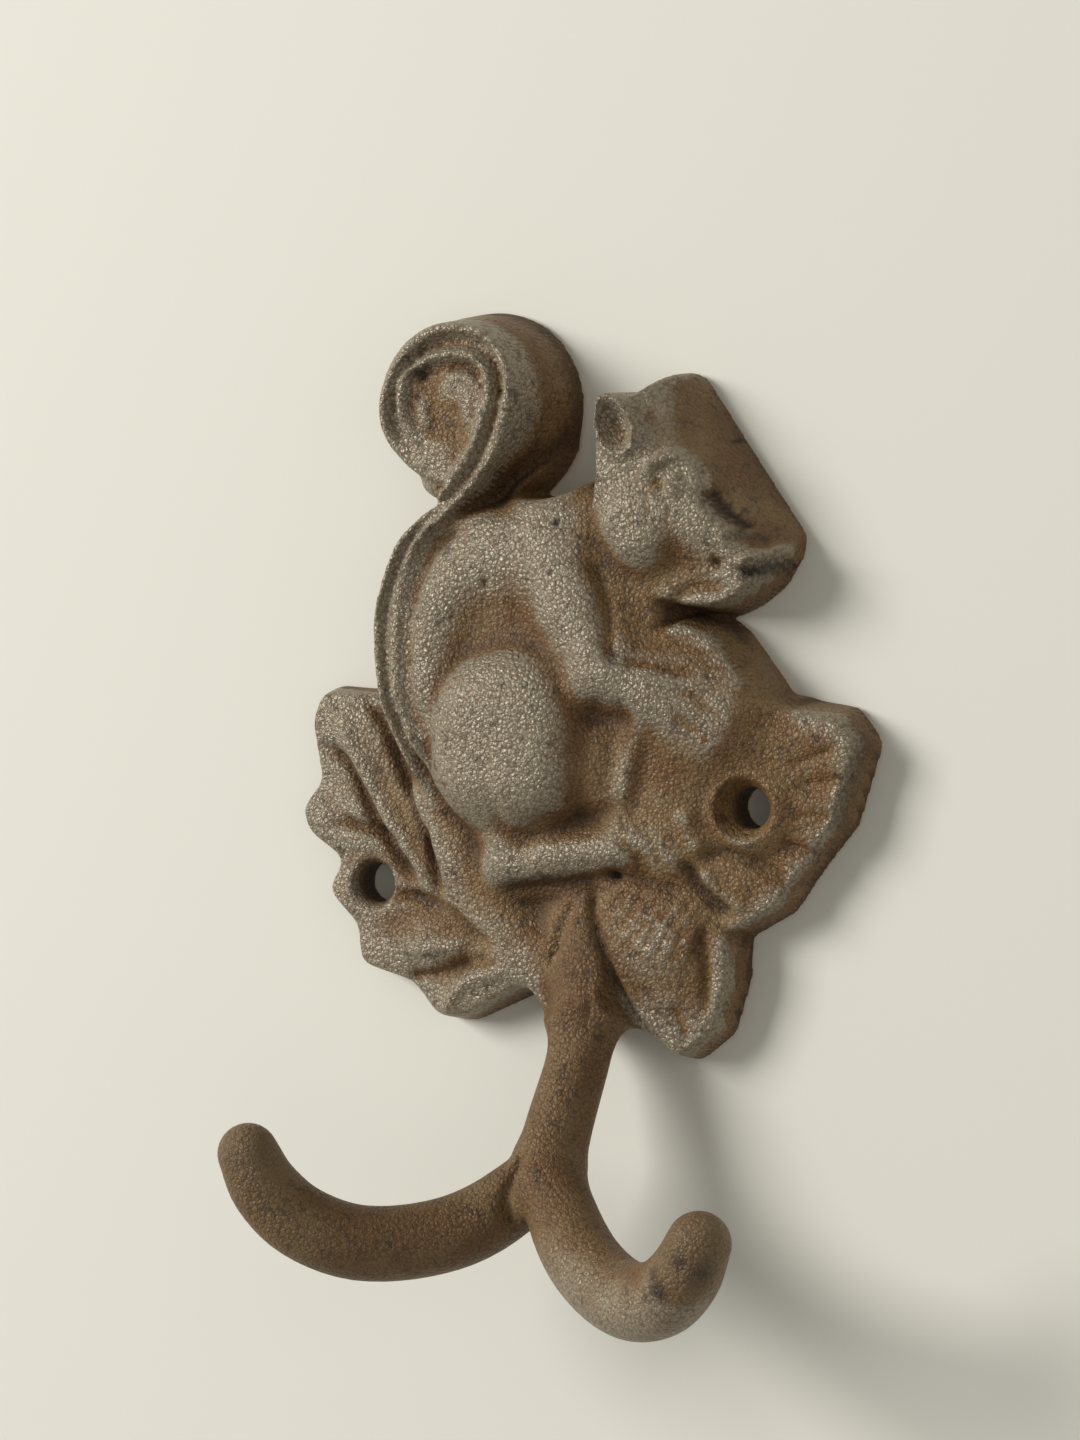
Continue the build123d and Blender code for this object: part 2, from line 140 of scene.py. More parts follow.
def endFade(share, ends):  # 0 at both ends of a line, 1 between them
    return np.clip(np.minimum(share, 1 - share) / ends, 0, 1)


def lumps(seed, size):
    # uneven sand-mould surface: smoothed noise with a spread of one
    field = blur(np.random.default_rng(seed).standard_normal(xField.shape), size)
    return field / field.std()


# relief forms

swellForm = {"fall": 8.0, "reach": 40.0}  # how far a swell falls at one radius, and how far it is worked out


def swell(line, radius, crest, flat=2.0, soft=2.0):  # a rounded form with its crest along a line
    return {"line": line, "radius": radius, "crest": crest, "flat": flat, "soft": soft}


def stroke(line, width, depth, ends=0.15):  # a ridge, or a groove where the depth is negative
    return {"line": line, "width": width, "depth": depth, "ends": ends}


def swells(forms, base):
    # each form falls off from its crest line and is laid softly over what is there
    height = np.array(base, float)
    for form in forms.values():
        line = smoothLine(form["line"]) if len(form["line"]) > 2 else form["line"]
        window, gap, share = nearest(line, swellForm["reach"])
        radius = np.interp(share, np.linspace(0, 1, len(form["radius"])), form["radius"])
        crest = np.interp(share, np.linspace(0, 1, len(form["crest"])), form["crest"])
        top = crest - swellForm["fall"] * (gap / radius) ** form["flat"]
        height[window] = softMax(height[window], top, form["soft"])
    return height


def strokes(height, lines):
    # each adds a rounded bead along its line, thinning at the line's ends
    for line in lines:
        window, gap, share = nearest(smoothLine(line["line"]), 4 * line["width"])
        fade = endFade(share, line["ends"]) if line["ends"] else 1.0
        height[window] += line["depth"] * fade * bell(gap, line["width"])


def level(height):
    return np.full(xField.shape, height)


def sideSlope(gap, draft):
    # the height that a side of this draft, in degrees, lets a form have, at a gap inside its outline
    return -gap / math.tan(math.radians(draft))


leafForm = {
    "leftEdge": [(-42.0, 20.4), (-52.8, 20.0), (-54.6, 14.0), (-52.4, 5.4), (-55.4, 0.6), (-53.4, -3.8),
                 (-47.6, -7.0), (-49.8, -11.6), (-43.6, -16.6), (-42.2, -22.8), (-32.6, -24.4),
                 (-27.8, -29.0), (-22.6, -28.6), (-12.0, -22.6), (-6.0, -27.0), (4.0, -20.0),
                 (2.0, -2.0), (-24.0, 8.0)],
    "rightEdge": [(2.0, 26.0), (18.0, 26.0), (34.4, 25.2), (38.6, 20.4), (36.0, 8.0), (30.4, -0.6),
                  (27.6, -5.6), (20.6, -10.4), (0.0, -8.0), (-4.0, 10.0)],
    "leftTop": 5.4, "rightTop": 7.0, "draft": 14.0, "rim": 1.6, "corner": 0.9,
    "leftLobes": {
        "a": swell([(-33, 5), (-51, 15)], (16, 17), (6.4, 7.2, 6.2), soft=0.8),
        "b": swell([(-32, -1), (-53, 0)], (14, 14), (6.0, 7.0, 6.0), soft=0.8),
        "c": swell([(-27, -9), (-48, -12.4)], (13, 14), (6.2, 7.0, 5.8), soft=0.8),
        "d": swell([(-19, -14.6), (-40, -20)], (13, 14), (7.4, 7.6, 6.0), soft=0.8),
        "e": swell([(-12, -18), (-25, -25.6)], (12, 13), (8.4, 7.6, 6.2), soft=0.8),
        "petiole": swell([(-29, 5), (-24.4, -4), (-18.9, -10.7), (-14, -16)], (8.6, 9), (9.2, 8.8, 8.8),
                         flat=2.6, soft=1.4),
        "stalk": swell([(-4, -10), (-2, -24)], (11, 10), (8.6, 7.6)),
    },
    "rightLobes": {
        "a": swell([(20, 18), (35, 20)], (16, 15), (8.8, 7.4), soft=0.8),
        "b": swell([(22, 9), (34, 10)], (14, 13), (8.8, 7.4), soft=0.8),
        "c": swell([(14, 1), (25, -3.4)], (12, 11), (9.0, 7.6), soft=0.8),
        "root": swell([(8.6, 22), (7.4, 4)], (14, 14), (11.2, 10.4)),
        "holeLip": swell([(21.3, 9.2), (21.4, 9.2)], (9.5, 9.5), (10.4, 10.4), flat=3, soft=1.5),
    },
    "veins": [
        stroke([(-49, 17), (-46, 12.5), (-42.6, 7.6), (-39, 2.6), (-34, -3.4), (-29, -8.6), (-21, -14)],
               1.4, 1.2),
        stroke([(-52, 10.6), (-47.4, 9.2), (-45, 7), (-42.6, 3.6), (-39, -1), (-35, -5.4), (-31, -8)],
               1.0, -1.9),
        stroke([(-49, -1), (-44, -1), (-40.4, -1.6), (-38.6, -2)], 0.8, -0.9),
        stroke([(-37, -10.6), (-31, -10.2), (-26, -11), (-22, -13.4), (-17, -16.6)], 0.9, -1.1),
        stroke([(-30.6, 1.4), (-29.6, -4), (-28, -8), (-26.4, -10)], 0.9, -1.3),
        stroke([(-45, 19.6), (-39, 13.4), (-34.5, 5.6), (-31, -0.6), (-27, -8)], 0.9, -1.6),
        stroke([(-52, 4.4), (-46, 0.2), (-39.8, -1.2), (-34, -2.6)], 0.8, -0.9),
        stroke([(-34, -18.4), (-28, -17.4), (-22, -16)], 1.2, 1.0),
        stroke([(-33, -22.6), (-26, -20.8), (-20.6, -18)], 0.9, -1.2),
        stroke([(-26, -28), (-23.4, -23.4), (-20, -20.6), (-14, -19.4)], 1.1, 1.1),
        stroke([(26.4, 15.6), (30, 17.2), (33.6, 19)], 0.6, -0.7),
        stroke([(27.6, 13), (31.4, 14), (35.6, 15)], 0.6, -0.7),
        stroke([(28, 8.8), (31.4, 9.1), (34.6, 9.6)], 0.6, -0.7),
        stroke([(26.6, 4.9), (29.8, 4.3), (33, 3.7)], 0.7, -0.8),
        stroke([(24, 24), (31, 23.6), (35.4, 22), (36.8, 19.6), (35.4, 13.4), (34, 6.4), (30.4, 0.6),
                (25, -4.6)], 0.7, -0.7),
        stroke([(14.6, 0), (18.5, 2.6), (25, 1), (28.6, -1.6)], 0.9, -1.0),
        stroke([(13, 1), (15.4, -3), (20.2, -6.4)], 1.0, -1.2),
        stroke([(15.4, 0), (18.4, -3.4), (22.6, -5.4)], 1.0, 0.7),
        stroke([(12.6, 8.6), (13.6, 5), (16, 2.6)], 1.5, 0.9),
    ],
}


def leafHeight():
    left = blur(insideGap(leafForm["leftEdge"]), leafForm["corner"])
    right = blur(insideGap(leafForm["rightEdge"]), leafForm["corner"])
    leftTop = swells(leafForm["leftLobes"], level(leafForm["leftTop"]))
    rightTop = swells(leafForm["rightLobes"], level(leafForm["rightTop"]))
    leftTop = softMin(leftTop, sideSlope(left, leafForm["draft"]), leafForm["rim"])
    rightTop = softMin(rightTop, sideSlope(right, leafForm["draft"]), leafForm["rim"])
    height = np.maximum(leftTop, rightTop)
    strokes(height, leafForm["veins"])
    return height, np.minimum(left, right)


acornForm = {
    "edge": [(-10, -16), (0, -20), (6, -25), (12.6, -29), (14.8, -29), (20, -24), (21.6, -16), (21.4, -9),
             (16, -2), (-10, 0)],
    "top": 6.8, "draft": 14.0, "rim": 1.4, "corner": 0.6, "join": 0.8,
    "swells": {
        "husk": swell([(18.4, -11), (18.2, -20)], (10, 9), (7.6, 6.8), soft=0.6),
        "cap": swell([(5, -6), (9, -9.4)], (15, 15), (9.4, 9.8), soft=1.2),
        "kernel": swell([(8.4, -13), (13, -25)], (14, 11), (9.6, 7.4)),
    },
    "scaleCentre": (8.6, -7.8), "scaleRadius": (9.6, 6.4), "scaleFade": (0.8, 1.1), "scaleSize": 2.3,
    "scaleDepth": 0.34, "scaleTurn": 0.44, "scaleSeeds": (31, 32), "scaleStray": 0.5, "scaleStraySize": 1.6,
    "creases": [
        stroke([(16, -7.6), (16.4, -12), (17, -16), (17.2, -21)], 0.7, -0.9),
        stroke([(-1.8, -7.4), (-3.4, -13.6), (-5.2, -18.8)], 1.0, 0.9),
        stroke([(-6.2, -8), (-9, -14.3), (-13.2, -16.9)], 1.0, 0.9),
        stroke([(0, -16.6), (3.6, -19.6), (8, -22.4), (11.6, -24.4)], 0.8, 0.5),
        stroke([(12.4, -20.4), (14.2, -23), (14.8, -26.4)], 0.7, -0.7),
    ],
}


def capScales():
    # small lozenges on the acorn's cap, strayed a little from a regular net
    wide, tall = acornForm["scaleRadius"]
    dx, dz = (field - at + acornForm["scaleStray"] * lumps(seed, acornForm["scaleStraySize"])
              for field, at, seed in zip((xField, zField), acornForm["scaleCentre"], acornForm["scaleSeeds"]))
    turn, wave = acornForm["scaleTurn"], math.pi / acornForm["scaleSize"]
    across = dx * math.cos(turn) - dz * math.sin(turn)
    down = dx * math.sin(turn) + dz * math.cos(turn)
    near = 1 - smoothStep(*acornForm["scaleFade"], np.hypot(across / wide, down / tall))
    return acornForm["scaleDepth"] * near * np.cos(wave * (across + down)) * np.cos(wave * (across - down))


def acornHeight():
    gap = blur(insideGap(acornForm["edge"]), acornForm["corner"])
    height = swells(acornForm["swells"], level(acornForm["top"])) + capScales()
    height = softMin(height, sideSlope(gap, acornForm["draft"]), acornForm["rim"])
    strokes(height, acornForm["creases"])
    return height, gap


nutForm = {
    "edge": [(2, 34), (9, 37.2), (15.6, 35), (24.4, 25.6), (18, 22), (6, 24)],
    "top": 7.4, "draft": 14.0, "rim": 1.6, "corner": 1.0, "join": 2.6,
    "swells": {"shell": swell([(8, 31.6), (19, 28.6)], (14, 13), (11.0, 9.8))},
    "firstRidge": [(7, 35), (14, 34.8), (20, 33.6)], "nextRidge": [(0.3, -1.9), (0.4, -2), (0.6, -2.1)],
    "ridges": 5, "ridgeWidth": 0.6, "ridgeDepth": -0.3,
}


def nutHeight():
    gap = blur(insideGap(nutForm["edge"]), nutForm["corner"])
    height = swells(nutForm["swells"], level(nutForm["top"]))
    first, step = np.array(nutForm["firstRidge"]), np.array(nutForm["nextRidge"])
    strokes(height, [stroke(first + i * step, nutForm["ridgeWidth"], nutForm["ridgeDepth"])
                     for i in range(nutForm["ridges"])])
    return softMin(height, sideSlope(gap, nutForm["draft"]), nutForm["rim"]), gap


bodyForm = {
    "edge": [(-41.8, 27.0), (-38.0, 43.4), (-28.0, 51.8), (-14.6, 51.0), (-9.4, 52.6), (-6.2, 57.0),
             (0.0, 56.0), (9.0, 40.0), (11.0, 24.0), (6.0, -1.0), (-20.0, -5.0), (-35.0, 8.0)],
    "draft": 14.0, "rim": 8.0, "corner": 2.2, "join": 2.4,
    "backTop": 12.4, "bellyTop": 9.6, "bellyAcross": (-14, 4), "rumpTop": 7.4, "rumpUp": (4, 22),
    "swells": {
        "back": swell([(-28.4, 16), (-30, 25), (-28.8, 33.6), (-24.4, 40), (-20, 43)], (9, 9, 10),
                      (14.0, 15.2, 14.6), soft=3.0),
        "shoulder": swell([(-18, 41), (-9, 44)], (13, 13), (13.6, 12.8), soft=3.0),
        "belly": swell([(6.6, 19), (6.8, 8)], (16, 16), (12.6, 12.2), soft=3.0),
        "throat": swell([(0, 38), (6, 31)], (12, 12), (11.8, 11.0)),
        "knee": swell([(-4.0, 12), (-3.0, 18)], (11, 11), (13.6, 13.4), soft=3.0),
        "haunch": swell([(-17.6, 12.4), (-18, 17.8), (-12.8, 18.6), (-12.4, 12.8)], (11.6, 11.6),
                        (17.6, 18.0), flat=3.2, soft=1.5),
    },
    "limbs": {
        "foot": swell([(-16, -3.2), (-7.5, -1), (1.2, 1), (6, 3), (9.6, 1.4)], (7.4, 6.8, 6.4, 6.6, 6.4),
                      (11.8, 12.6, 12.6, 12.2, 10.8), soft=3.0),
        "heel": swell([(-17, 5), (-14.6, -2)], (8, 7), (13.6, 12.6), soft=2.4),
        "upperArm": swell([(-12.6, 45), (-8.6, 38.8), (-4.4, 32), (-0.8, 27)], (11, 10, 9),
                          (14.8, 16.0, 16.2), flat=2.1, soft=3.0),
        "forearm": swell([(-1.4, 26.2), (4, 25), (9, 23.8), (14.4, 21)], (8.2, 9.4, 11.5), (16.0, 15.2, 12.8),
                         flat=2.1, soft=3.0),
    },
    "creases": [
        stroke([(-0.6, 20.6), (1.4, 20.2), (3.2, 20.2)], 2.2, -1.8, ends=0),
        stroke([(1.6, 19), (1.2, 14), (0.6, 8.4)], 1.2, -0.5),
        stroke([(-12, 3.4), (-4, 5.4), (2, 7), (8, 8.4)], 1.2, -0.6),
        stroke([(-18, -7.6), (-10, -5.6), (0, -3.2), (5.6, -1.6)], 0.9, -1.1),
        stroke([(5.1, 5.4), (8.6, 2.9), (10.4, -1.8)], 0.6, -0.7),
        stroke([(3.1, 3.2), (6.6, 0.7), (8, -2.5)], 0.6, -0.7),
        stroke([(11.6, 25.4), (15.4, 23.4), (18, 21)], 0.6, -0.5),
        stroke([(11, 21.8), (14.6, 19.8), (16.6, 17.6)], 0.6, -0.5),
        stroke([(-4.6, 43), (-2.2, 39.6), (-0.2, 34.6), (1.2, 30), (3.4, 27.8)], 0.9, -1.0),
        stroke([(3, 28.4), (8, 28.2), (13.6, 27.4)], 0.8, -0.7),
    ],
}


def bodyHeight():
    gap = blur(insideGap(bodyForm["edge"]), bodyForm["corner"])
    back = bodyForm["backTop"]
    belly = back + (bodyForm["bellyTop"] - back) * smoothStep(*bodyForm["bellyAcross"], xField)
    rump = back + (bodyForm["rumpTop"] - back) * (1 - smoothStep(*bodyForm["rumpUp"], zField))
    height = swells(bodyForm["swells"], np.minimum(belly, rump))
    height = softMin(height, sideSlope(gap, bodyForm["draft"]), bodyForm["rim"])
    nut, nutGap = nutHeight()
    height = swells(bodyForm["limbs"], softMax(height, nut, nutForm["join"]))
    strokes(height, bodyForm["creases"])
    return height, np.minimum(gap, nutGap)


earForm = {
    "centre": (-1.4, 61.8), "length": 10.6, "width": 6.2, "lean": 116.0, "taper": 0.3, "taperFrom": -0.3,
    "rim": 15.4, "rimEdge": 0.92, "rimFall": 14.0, "rimSoft": 0.6, "reach": 1.3,
    "dish": 12.6, "dishEdge": 0.84, "dishFlat": 2.4, "dishSoft": 0.3,
}


def earHeight(height):
    # a pointed oval with a thin rim round a dish
    lean = math.radians(earForm["lean"])
    dx, dz = (field - at for field, at in zip((xField, zField), earForm["centre"]))
    along = (dx * math.cos(lean) + dz * math.sin(lean)) / (earForm["length"] / 2)
    across = (dz * math.cos(lean) - dx * math.sin(lean)) / (earForm["width"] / 2)
    reach = np.hypot(along, across / (1 - earForm["taper"] * along.clip(earForm["taperFrom"], 1)))
    rim = earForm["rim"] - earForm["rimFall"] * (reach - earForm["rimEdge"]).clip(0)
    depth = earForm["rim"] - earForm["dish"]
    dish = earForm["dish"] + depth * (reach / earForm["dishEdge"]) ** earForm["dishFlat"]
    ear = softMin(softMax(height, rim, earForm["rimSoft"]), dish, earForm["dishSoft"])
    return np.where(reach < earForm["reach"], ear, height)


headForm = {
    "edge": [(-8.0, 43.0), (-6.0, 54.0), (-7.2, 62.0), (-6.2, 67.4), (-1.4, 67.4), (2.6, 71.0), (6.0, 70.4),
             (24.4, 48.2), (23.8, 44.6), (21.6, 40.4), (18.2, 37.5), (14.8, 35.6), (0.0, 36.0)],
    "top": 11.0, "draft": 8.0, "rim": 2.4, "corner": 0.8, "join": 1.0,
    # flat from the brow to the wall
    "crown": [(6.0, 70.4), (24.4, 48.2)], "crownDraft": 29.0, "crownFoot": 1.0, "crownRim": 1.8,
    "swells": {
        "skull": swell([(-1, 55.4), (10, 51.4)], (12, 11), (14.2, 13.6), flat=2.6),
        "muzzle": swell([(8, 48), (20, 45.6)], (9, 7), (13.0, 10.6), flat=2.4),
        "cheek": swell([(1.6, 48.4), (3.2, 46.6)], (7.8, 7.8), (15.4, 15.4), flat=2.6),
        "earRoot": swell([(-2.4, 63.6), (0.8, 58.4)], (6, 6.4), (14.0, 14.4), flat=3, soft=1.5),
    },
    "carving": [
        stroke([(3.6, 54.6), (5.4, 57), (7.6, 58), (9.9, 57.2), (11.6, 55), (12.4, 53.2)], 0.9, 1.6),
        stroke([(12.2, 53.8), (13.6, 52.2), (15.4, 50.4), (18.6, 48.4)], 0.75, -1.7, ends=0.08),
        stroke([(14.6, 47.6), (16.6, 45.2), (18.4, 42.6)], 0.8, 0.9),
        stroke([(18.2, 43), (20, 44.4), (22.2, 45.4), (23.8, 46.6)], 0.8, 1.6),
        stroke([(18.6, 41.8), (21, 43), (23.6, 44.6)], 0.8, -1.7),
        stroke([(16.6, 47.4), (19, 46.6), (21.6, 47)], 1.0, -0.8),
        stroke([(4.7, 52), (6.4, 51), (7.8, 49.7)], 0.8, 0.6),
        stroke([(7.6, 53.6), (8.2, 53.3), (8.7, 53.1)], 1.0, 1.0, ends=0),
        stroke([(5.6, 54), (6.2, 53.8), (6.6, 53.6)], 0.8, -0.8, ends=0),
        stroke([(-3.6, 39.6), (0, 37.6), (4, 36.4), (7.6, 37), (10.3, 39), (12.6, 39.8), (18.6, 40)],
               0.9, -1.1),
    ],
}


def headHeight():
    gap = blur(insideGap(headForm["edge"]), headForm["corner"])
    height = swells(headForm["swells"], level(headForm["top"]))
    height = softMin(height, sideSlope(gap, headForm["draft"]), headForm["rim"])
    crown = sideSlope(-lineInset(*headForm["crown"]), headForm["crownDraft"]) + headForm["crownFoot"]
    height = softMin(height, crown, headForm["crownRim"])
    strokes(height, headForm["carving"])
    return earHeight(height), gap


tailForm = {
    "bunCentre": (-28.2, 63.2), "bunRadius": 15.2, "bunTop": 14.2, "bunRim": 2.2, "join": 1.0,
    "faceCentre": (-29.6, 63.6), "faceRadius": 11.4, "faceInset": 2.0,
    "dish": 12.2, "dishRise": 0.8, "dishEdge": (-9, -2),
    "creasePlace": 0.62, "creaseWidth": 0.1, "creaseDepth": 0.9, "creaseAcross": (-6, 4),
    "bandEdge": 4.4, "bandTop": (9.6, 13.2, 13.6, 13.6, 13.6), "bandDraft": 12.0, "bandRim": 3.0,
    "bandPoints": 11, "bandReach": 60.0, "bandJoin": 0.8,  # the band takes the ridges' first points
    "ridgeOuter": [(-26.4, 6), (-29, 11), (-33, 18), (-34.5, 24), (-35, 31), (-34.5, 36), (-32, 43),
                   (-26.5, 48.6), (-22, 54), (-20, 60), (-19.3, 65), (-20.5, 70), (-24, 73.5), (-29, 74.5),
                   (-34, 73), (-38, 69), (-40.2, 63), (-39, 58), (-36.8, 56.2), (-34.8, 55.6)],
    "ridgeInner": [(-28.8, 5), (-31.4, 10), (-35, 16), (-37.5, 21), (-39, 28), (-38.8, 33), (-37, 40),
                   (-33.4, 45.6), (-28.4, 51.6), (-24.6, 57), (-22.8, 62), (-22.8, 67), (-25.6, 70.2),
                   (-30, 70.5), (-34, 69), (-37.3, 66), (-37.1, 62), (-35.5, 59), (-34, 57.8), (-32.6, 57.2)],
    "swells": {
        "crossing": swell([(-31.6, 52.4), (-30, 55.8)], (6, 6), (12.0, 12.8), flat=2.2),
        "boss": swell([(-28.6, 66), (-26.4, 64.4), (-25.8, 60.6)], (6, 5, 5), (13.4, 14.0, 13.2), flat=2.2),
    },
}


def midLine(lineA, lineB):
    return [((a[0] + b[0]) / 2, (a[1] + b[1]) / 2) for a, b in zip(lineA, lineB)]


tailForm["middle"] = midLine(tailForm["ridgeOuter"], tailForm["ridgeInner"])
tailForm["strands"] = [
    stroke(tailForm["ridgeOuter"], 0.95, 1.4, ends=0.06),
    stroke(tailForm["ridgeInner"], 0.95, 1.5, ends=0.06),
    stroke(tailForm["middle"], 0.8, -0.8, ends=0.06),
    stroke([(-27, 12), (-31, 19), (-32.2, 25), (-32.4, 31), (-31.6, 37), (-28.6, 43), (-23, 47)], 1.0, -0.9),
    stroke([(-29.8, 66.7), (-27.4, 67.6), (-25, 66.6), (-23.9, 64), (-23.9, 61.6), (-24.8, 58.6)], 0.7, 0.7),
    stroke([(-30, 68.4), (-26.6, 69), (-24.2, 67.4)], 0.6, -0.7),
    stroke([(-34, 64.4), (-33.5, 61.6), (-32.1, 59.4)], 0.8, 0.9),
    stroke([(-28.6, 63.6), (-27.6, 61), (-27.4, 58.6)], 0.9, -0.6),
]


def bunHeight():
    # the scroll's block: a leaning cone with a dished face
    (bx, bz), (fx, fz) = tailForm["bunCentre"], tailForm["faceCentre"]
    bunGap = np.hypot(xField - bx, zField - bz) - tailForm["bunRadius"]
    faceGap = np.hypot(xField - fx, zField - fz) - tailForm["faceRadius"]
    rise = -bunGap / np.maximum(faceGap - bunGap, 0.1)  # 0 at the wall and 1 at the face
    crease = bell(rise - tailForm["creasePlace"], tailForm["creaseWidth"])
    crease = tailForm["creaseDepth"] * crease * smoothStep(*tailForm["creaseAcross"], xField - fx)
    side = tailForm["bunTop"] * rise - crease
    dish = tailForm["dish"] + tailForm["dishRise"] * smoothStep(*tailForm["dishEdge"], faceGap)
    shoulder = softMin(np.minimum(dish, side), side, tailForm["bunRim"])
    return np.where(faceGap < -tailForm["faceInset"], dish, shoulder), bunGap


def bandHeight():
    # the tail's band, climbing from the leaf to the scroll
    climb = smoothLine(tailForm["middle"][:tailForm["bandPoints"]])
    window, gap, share = nearest(climb, tailForm["bandReach"])
    bandGap, top = level(tailForm["bandReach"]), level(0.0)
    bandGap[window] = gap - tailForm["bandEdge"]
    top[window] = np.interp(share, np.linspace(0, 1, len(tailForm["bandTop"])), tailForm["bandTop"])
    return softMin(top, sideSlope(bandGap, tailForm["bandDraft"]), tailForm["bandRim"])


def tailHeight():
    bun, gap = bunHeight()
    return swells(tailForm["swells"], softMax(bun, bandHeight(), tailForm["bandJoin"])), gap


skinForm = {
    "edgeJoin": 1.2, "seed": 7, "fineSize": 0.9, "fineDepth": 0.04, "broadSize": 3.2, "broadDepth": 0.16,
    # casting pores: x, z, width, depth
    "pores": [(-34.5, 67.5, 0.9, 1.2), (14.8, 43.5, 0.7, 1.2), (2.2, -2.6, 0.8, 1.6), (-20.6, 37.6, 0.5, 0.6),
              (-9.6, 47.2, 0.5, 0.6), (-31.6, 34.0, 0.45, 0.5), (12.6, 61.0, 0.45, 0.6),
              (-2.6, -9.8, 0.7, 0.8)],
}


def reliefHeight():
    height, edge = leafHeight()
    for makeHeight, form in ((acornHeight, acornForm), (bodyHeight, bodyForm), (headHeight, headForm),
                             (tailHeight, tailForm)):
        top, gap = makeHeight()
        height = softMax(height, top, form["join"])
        edge = softMin(edge, gap, skinForm["edgeJoin"])
    strokes(height, tailForm["strands"])
    height += skinForm["fineDepth"] * lumps(skinForm["seed"], skinForm["fineSize"])
    height += skinForm["broadDepth"] * lumps(skinForm["seed"] + 1, skinForm["broadSize"])
    for x, z, width, depth in skinForm["pores"]:
        height -= depth * bell(np.hypot(xField - x, zField - z), width)
    return height, edge


# stem and prongs

hookForm = {
    # x, z, height off the wall
    "stem": [(-2.4, -9, 1.0), (-1.2, -19, 6.4), (0, -29, 11.4), (0, -38, 15.6), (0, -46, 18.8)],
    "stemRadius": (5.4, 5.0, 4.6, 4.8, 5.2), "stemJoin": 2.4,
    # reach from the stem, z
    "prong": [(0, -44.6), (9, -52.4), (17, -55.8), (26, -56.6), (34, -54.2), (39.4, -49.8), (42.4, -44.8)],
    "prongRadius": (4.7, 5.2, 5.3, 5.3, 5.2, 4.9, 4.3), "splay": 56.0,
    "leftBack": 2.6, "leftBackReach": 26.0, "leftJoin": 0.7,  # the left prong's root is set back
}


def tubeGap(points, radii, block):
    # signed distance to a round bar with a changing radius
    x, h, z = block
    p = smoothLine(points, 5)
    r = smoothLine([(v, 0) for v in radii], 5)[:, 0]
    best = None
    for (ax, az, ah), (bx, bz, bh), ra, rb in zip(p, p[1:], r, r[1:]):
        dx, dz, dh = bx - ax, bz - az, bh - ah
        along = (x - ax) * dx + (z - az) * dz + (h - ah) * dh
        t = (along / (dx ** 2 + dz ** 2 + dh ** 2)).clip(0, 1)
        away = np.sqrt((x - ax - t * dx) ** 2 + (z - az - t * dz) ** 2 + (h - ah - t * dh) ** 2)
        gap = away - (ra + t * (rb - ra))
        best = gap if best is None else np.minimum(best, gap)
    return best


def prongLine(side):
    turn = math.radians(hookForm["splay"])
    foot = hookForm["stem"][-1][2]
    back = hookForm["leftBack"] if side < 0 else 0.0
    line = []
    for reach, z in hookForm["prong"]:
        setBack = back * max(0, 1 - reach / hookForm["leftBackReach"])
        line.append((side * reach * math.sin(turn), z, foot + reach * math.cos(turn) - setBack))
    return line


def hookGap(block):
    stem = tubeGap(hookForm["stem"], hookForm["stemRadius"], block)
    left, right = (tubeGap(prongLine(side), hookForm["prongRadius"], block) for side in (-1, 1))
    return softMin(softMin(right, stem, hookForm["stemJoin"]), left, hookForm["leftJoin"])


# screw holes

holeForm = {"centres": [(-40.0, -9.3), (21.3, 9.2)], "straight": (4.4, 6.4), "radius": 3.0, "flare": 30.0}


def holeGap(h):
    widen = math.tan(math.radians(holeForm["flare"]))
    gaps = []
    for (x, z), straight in zip(holeForm["centres"], holeForm["straight"]):
        radius = holeForm["radius"] + np.maximum(h - straight, 0) * widen
        gaps.append(radius - np.hypot(xField - x, zField - z)[:, None, :])
    return np.maximum(*gaps)


carvedForm = {
    "rise": 3.0, "ends": 0.15,
    "lines": [
        {"line": [(-1.4, -4), (-0.8, -9.2), (2.2, -14.8), (4.9, -20.3), (7.6, -23.4)],
         "width": 0.8, "depth": 1.5, "low": 4.0},
        {"line": [(-4, -7), (-6, -13), (-7.6, -18)], "width": 0.9, "depth": 1.1, "low": 4.0},
        {"line": [(-1.6, -42), (-3.4, -47), (-2.4, -53)], "width": 0.8, "depth": 1.3, "low": 17.0},
    ],
}


def carve(field):
    # grooves cut from the front, above a height of their own
    for line in carvedForm["lines"]:
        window, gap, share = nearest(smoothLine(line["line"]), 3 * line["width"])
        cut = line["depth"] * endFade(share, carvedForm["ends"]) * bell(gap, line["width"])
        rise = smoothStep(line["low"], line["low"] + carvedForm["rise"], heightLine)
        field[window[0], :, window[1]] += (cut[:, None, :] * rise[None, :, None]).astype(np.float32)


castForm = {"draft": 5.0, "rim": 1.2, "bridge": 7.0, "hookBelow": 2.0, "shell": 2.0}


def castingField(height, edge):
    # signed distance to the casting's surface, near enough, over the whole block
    h = heightLine[None, :, None]
    slope = np.hypot(*np.gradient(height, grid["pitch"]))
    lean = 1 / np.sqrt(1 + slope ** 2)
    top = ((h - height[:, None, :]) * lean[:, None, :]).astype(np.float32)
    side = (edge[:, None, :] + h * math.tan(math.radians(castForm["draft"]))).astype(np.float32)
    field = softMax(top, side, castForm["rim"])
    low = int(np.searchsorted(zLine, castForm["hookBelow"]))
    block = (xLine[:, None, None], h, zLine[None, None, :low])
    field[:, :, :low] = softMin(field[:, :, :low], hookGap(block), castForm["bridge"])
    carve(field)
    field = np.maximum(field, holeGap(h))
    return np.maximum(field, -h).astype(np.float32)
